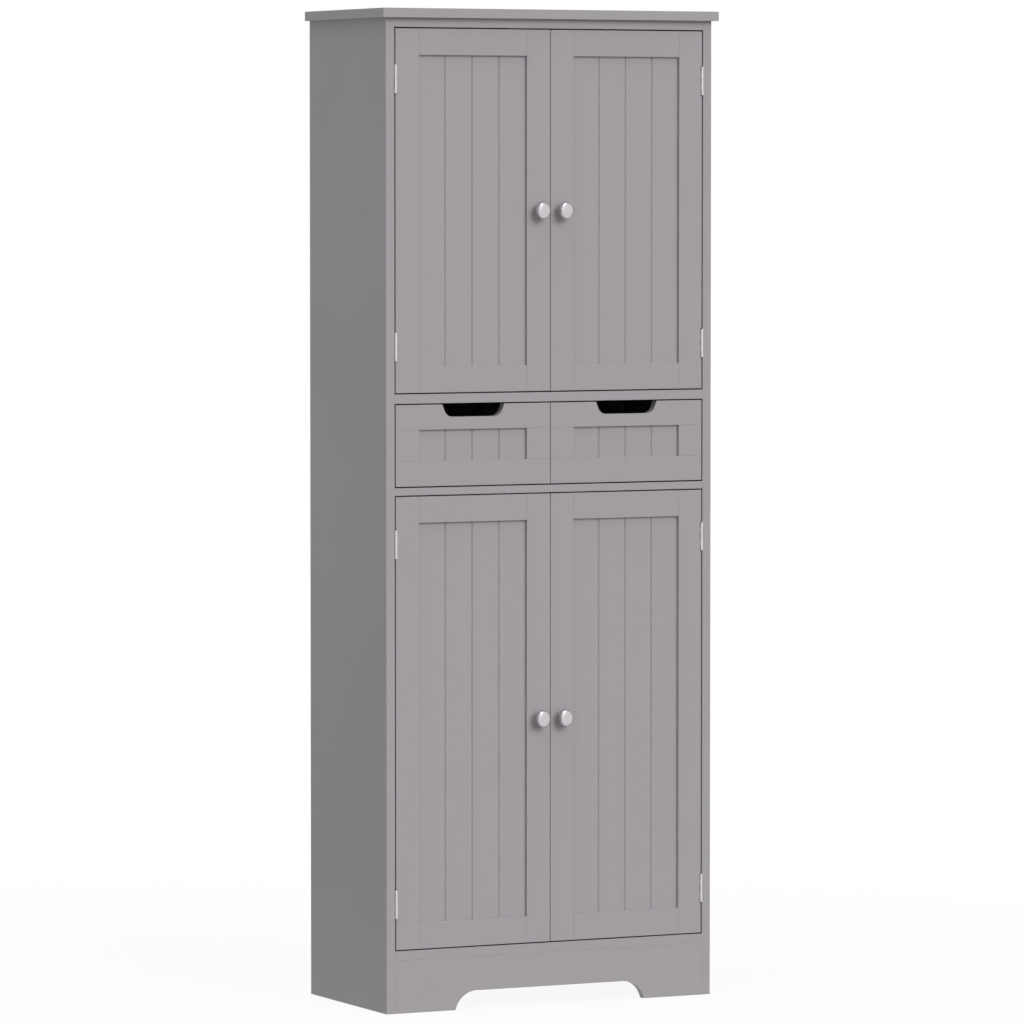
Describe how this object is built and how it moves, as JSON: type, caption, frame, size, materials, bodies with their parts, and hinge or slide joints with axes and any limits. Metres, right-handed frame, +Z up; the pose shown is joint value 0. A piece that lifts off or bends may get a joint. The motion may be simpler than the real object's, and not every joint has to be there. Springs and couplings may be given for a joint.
{
  "type": "tall bathroom cabinet",
  "caption": "Tall free-standing bathroom cabinet with panelled hinged doors above and below, side-by-side drawers between them and an arched plinth.",
  "frame": {"origin": "on the floor, midway across the top and midway between the knobs' faces and the rear edges", "axes": "+Z up, -Y towards the front with the doors, +X to the right seen from the front"},
  "size_m": [0.6, 0.314, 1.6],
  "materials": {
    "painted_carcass": "satin warm-grey paint on fibreboard",
    "painted_front": "satin warm-grey paint on fibreboard",
    "white_hardboard": "thin painted hardboard",
    "drawer_board": "foil-faced fibreboard",
    "brushed_nickel": "brushed nickel plate",
    "hinge_steel": "nickel-plated steel",
    "screw_steel": "zinc-plated steel",
    "pin_steel": "nickel-plated steel",
    "cast_zinc": "cast zinc",
    "beech": "plain beech",
    "catch_plastic": "white moulded plastic",
    "nylon": "white nylon",
    "coated_runner": "white epoxy-coated steel"
  },
  "bodies": {
    "carcass": {"side_panel_left": "painted_carcass", "side_panel_right": "painted_carcass", "top_panel": "painted_carcass", "top_rail": "painted_carcass", "upper_fixed_shelf": "painted_carcass", "lower_fixed_shelf": "painted_carcass", "bottom_panel": "painted_carcass", "plinth_board": "painted_carcass", "drawer_divider": "painted_carcass", "back_panel": "white_hardboard", "adjustable_shelf_upper": "painted_carcass", "adjustable_shelf_lower": "painted_carcass", "shelf_pins": "pin_steel", "cam_fittings": "cast_zinc", "wooden_dowels": "beech", "hinge_frame_leaves": "hinge_steel", "hinge_pins": "hinge_steel", "magnetic_catches": "catch_plastic", "cabinet_runners": "coated_runner", "carcass_screws": "screw_steel"},
    "upper_left_door": {"upper_left_door_frame": "painted_front", "upper_left_door_panel": "painted_front", "upper_left_knob": "brushed_nickel", "upper_left_hinge_leaves": "hinge_steel", "upper_left_door_screws": "screw_steel", "upper_left_strike_plate": "hinge_steel"},
    "upper_right_door": {"upper_right_door_frame": "painted_front", "upper_right_door_panel": "painted_front", "upper_right_knob": "brushed_nickel", "upper_right_hinge_leaves": "hinge_steel", "upper_right_door_screws": "screw_steel", "upper_right_strike_plate": "hinge_steel"},
    "lower_left_door": {"lower_left_door_frame": "painted_front", "lower_left_door_panel": "painted_front", "lower_left_knob": "brushed_nickel", "lower_left_hinge_leaves": "hinge_steel", "lower_left_door_screws": "screw_steel", "lower_left_strike_plate": "hinge_steel"},
    "lower_right_door": {"lower_right_door_frame": "painted_front", "lower_right_door_panel": "painted_front", "lower_right_knob": "brushed_nickel", "lower_right_hinge_leaves": "hinge_steel", "lower_right_door_screws": "screw_steel", "lower_right_strike_plate": "hinge_steel"},
    "left_drawer": {"left_drawer_front": "painted_front", "left_drawer_side_left": "drawer_board", "left_drawer_side_right": "drawer_board", "left_drawer_back": "drawer_board", "left_drawer_bottom": "white_hardboard", "left_drawer_runners": "coated_runner"},
    "left_drawer_front_rollers": {"left_drawer_front_rollers": "nylon"},
    "left_drawer_rear_rollers": {"left_drawer_rear_rollers": "nylon"},
    "right_drawer": {"right_drawer_front": "painted_front", "right_drawer_side_left": "drawer_board", "right_drawer_side_right": "drawer_board", "right_drawer_back": "drawer_board", "right_drawer_bottom": "white_hardboard", "right_drawer_runners": "coated_runner"},
    "right_drawer_front_rollers": {"right_drawer_front_rollers": "nylon"},
    "right_drawer_rear_rollers": {"right_drawer_rear_rollers": "nylon"}
  },
  "joints": [
    {"name": "upper_left_door_hinge", "type": "hinge", "parent": "carcass", "child": "upper_left_door", "pos_m": [-0.2746, -0.1343, 1.279], "axis": [0, 0, -1], "range_deg": [0, 180]},
    {"name": "upper_right_door_hinge", "type": "hinge", "parent": "carcass", "child": "upper_right_door", "pos_m": [0.2746, -0.1343, 1.279], "axis": [0, 0, 1], "range_deg": [0, 180]},
    {"name": "lower_left_door_hinge", "type": "hinge", "parent": "carcass", "child": "lower_left_door", "pos_m": [-0.2746, -0.1343, 0.4635], "axis": [0, 0, -1], "range_deg": [0, 180]},
    {"name": "lower_right_door_hinge", "type": "hinge", "parent": "carcass", "child": "lower_right_door", "pos_m": [0.2746, -0.1343, 0.4635], "axis": [0, 0, 1], "range_deg": [0, 180]},
    {"name": "left_drawer_slide", "type": "slide", "parent": "carcass", "child": "left_drawer", "axis": [0, -1, 0], "range_m": [0, 0.19]},
    {"name": "left_drawer_front_roller_spin", "type": "hinge", "parent": "carcass", "child": "left_drawer_front_rollers", "pos_m": [-0.142, -0.104, 0.858], "axis": [1, 0, 0], "range_deg": [-5, 1300]},
    {"name": "left_drawer_rear_roller_spin", "type": "hinge", "parent": "left_drawer", "child": "left_drawer_rear_rollers", "pos_m": [-0.142, 0.108, 0.8565], "axis": [1, 0, 0], "range_deg": [-5, 1300]},
    {"name": "right_drawer_slide", "type": "slide", "parent": "carcass", "child": "right_drawer", "axis": [0, -1, 0], "range_m": [0, 0.19]},
    {"name": "right_drawer_front_roller_spin", "type": "hinge", "parent": "carcass", "child": "right_drawer_front_rollers", "pos_m": [0.142, -0.104, 0.858], "axis": [1, 0, 0], "range_deg": [-5, 1300]},
    {"name": "right_drawer_rear_roller_spin", "type": "hinge", "parent": "right_drawer", "child": "right_drawer_rear_rollers", "pos_m": [0.142, 0.108, 0.8565], "axis": [1, 0, 0], "range_deg": [-5, 1300]}
  ],
  "couplings": [
    {"joint": "left_drawer_front_roller_spin", "follows": "left_drawer_slide", "rad_per_m": 114.94},
    {"joint": "left_drawer_rear_roller_spin", "follows": "left_drawer_slide", "rad_per_m": 98.039},
    {"joint": "right_drawer_front_roller_spin", "follows": "right_drawer_slide", "rad_per_m": 114.94},
    {"joint": "right_drawer_rear_roller_spin", "follows": "right_drawer_slide", "rad_per_m": 98.039}
  ]
}
